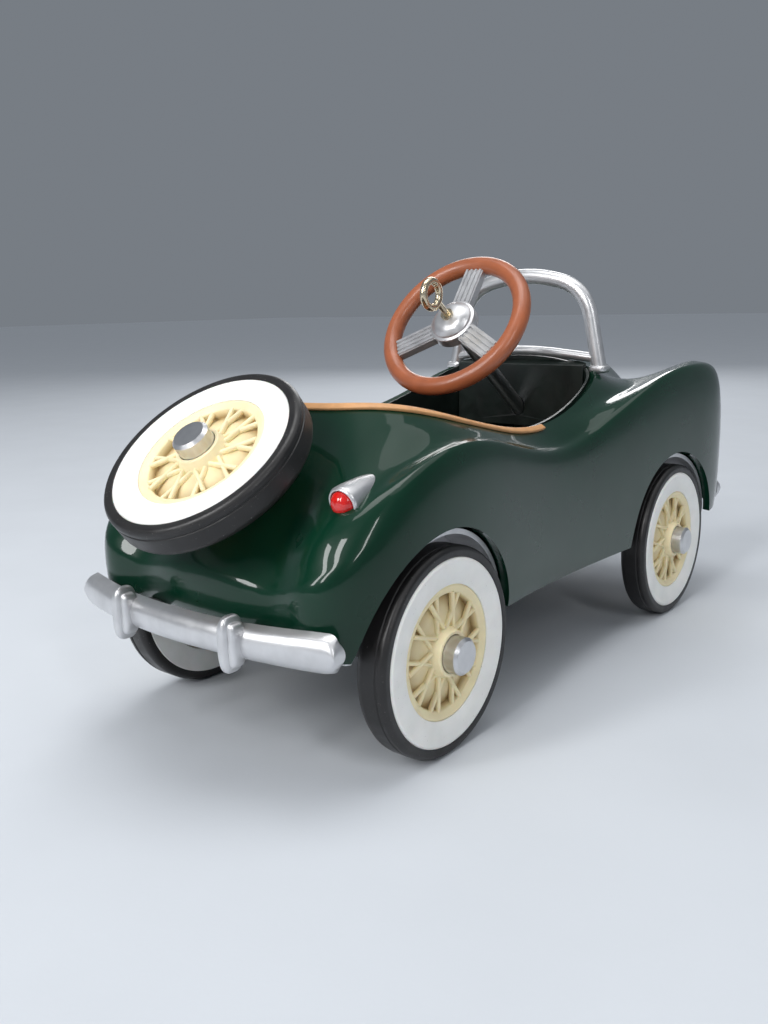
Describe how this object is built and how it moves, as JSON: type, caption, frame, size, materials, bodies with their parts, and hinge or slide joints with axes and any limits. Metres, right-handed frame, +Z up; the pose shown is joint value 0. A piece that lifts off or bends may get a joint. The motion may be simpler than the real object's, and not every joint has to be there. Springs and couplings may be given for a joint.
{
  "type": "pedal car",
  "caption": "Small open pedal car with crossed-spoke whitewall wheels, a spare on the tail, ribbed steering wheel with a hanging eye, open screen frame, pedals and bumpers.",
  "frame": {"origin": "on the ground, under the middle of the overall length and width", "axes": "+Z up, -Y towards the nose, +X towards the car's left side"},
  "size_m": [0.0478, 0.1162, 0.0568],
  "materials": {
    "body_green": "gloss dark green enamel",
    "silver_paint": "satin silver paint",
    "bracket_steel": "dark satin silver paint",
    "steel": "polished steel",
    "tyre_black": "satin black",
    "whitewall": "warm white, satin",
    "cream_disc": "cream, satin",
    "interior_black": "black, satin",
    "tan_trim": "tan, satin",
    "tan_leather": "tan leather, fine grain",
    "rim_brown": "terracotta brown, satin",
    "eye_brass": "pale brass, polished",
    "red_lens": "red, gloss",
    "clear_lens": "clear"
  },
  "bodies": {
    "car": {"axle_spacers": "bracket_steel", "base_plate": "interior_black", "base_screws": "steel", "body_shell": "body_green", "cockpit_lining": "interior_black", "cockpit_trim": "tan_trim", "column_foot": "interior_black", "dashboard": "interior_black", "front_axle": "steel", "front_bumper": "silver_paint", "front_bumper_brackets": "bracket_steel", "front_overriders": "silver_paint", "grille": "silver_paint", "headlight_bezels": "silver_paint", "headlight_lenses": "clear_lens", "hub_caps": "steel", "pedal_brackets": "bracket_steel", "pedal_rod": "steel", "rear_axle": "steel", "rear_bumper": "silver_paint", "rear_bumper_brackets": "bracket_steel", "rear_overriders": "silver_paint", "seat_back": "tan_leather", "seat_base": "interior_black", "seat_cushion": "tan_leather", "spare_carrier": "bracket_steel", "spare_hub_cap": "steel", "taillight_housings": "silver_paint", "taillight_lenses": "red_lens", "wheel_wells": "silver_paint", "windshield_frame": "silver_paint"},
    "wheel_front_right": {"tyre_front_right": "tyre_black", "whitewall_front_right": "whitewall", "spoke_disc_front_right": "cream_disc"},
    "wheel_front_left": {"tyre_front_left": "tyre_black", "whitewall_front_left": "whitewall", "spoke_disc_front_left": "cream_disc"},
    "wheel_rear_right": {"tyre_rear_right": "tyre_black", "whitewall_rear_right": "whitewall", "spoke_disc_rear_right": "cream_disc"},
    "wheel_rear_left": {"tyre_rear_left": "tyre_black", "whitewall_rear_left": "whitewall", "spoke_disc_rear_left": "cream_disc"},
    "wheel_spare": {"tyre_spare": "tyre_black", "whitewall_spare": "whitewall", "spoke_disc_spare": "cream_disc"},
    "steering": {"steering_rim": "rim_brown", "steering_spider": "silver_paint", "steering_hub_button": "silver_paint", "steering_column": "steel", "hanging_eye": "eye_brass"},
    "left_pedal": {"pedal_left": "steel"},
    "right_pedal": {"pedal_right": "steel"}
  },
  "joints": [
    {"name": "front_right_wheel_spin", "type": "hinge", "parent": "car", "child": "wheel_front_right", "pos_m": [-0.0199, -0.03033, 0.01215], "axis": [1, 0, 0], "continuous": true},
    {"name": "front_left_wheel_spin", "type": "hinge", "parent": "car", "child": "wheel_front_left", "pos_m": [0.0199, -0.03033, 0.01215], "axis": [1, 0, 0], "continuous": true},
    {"name": "rear_right_wheel_spin", "type": "hinge", "parent": "car", "child": "wheel_rear_right", "pos_m": [-0.0199, 0.03297, 0.01215], "axis": [1, 0, 0], "continuous": true},
    {"name": "rear_left_wheel_spin", "type": "hinge", "parent": "car", "child": "wheel_rear_left", "pos_m": [0.0199, 0.03297, 0.01215], "axis": [1, 0, 0], "continuous": true},
    {"name": "spare_wheel_spin", "type": "hinge", "parent": "car", "child": "wheel_spare", "pos_m": [0, 0.04892, 0.0357], "axis": [0, 0.6157, 0.788], "continuous": true},
    {"name": "steering_turn", "type": "hinge", "parent": "car", "child": "steering", "pos_m": [0, 0.00032, 0.0472], "axis": [0, 0.7986, 0.6018], "continuous": true},
    {"name": "left_pedal_swing", "type": "hinge", "parent": "car", "child": "left_pedal", "pos_m": [0.0065, -0.03168, 0.0354], "axis": [1, 0, 0], "range_deg": [-20, 20]},
    {"name": "right_pedal_swing", "type": "hinge", "parent": "car", "child": "right_pedal", "pos_m": [-0.0065, -0.03168, 0.0354], "axis": [1, 0, 0], "range_deg": [-20, 20]}
  ]
}
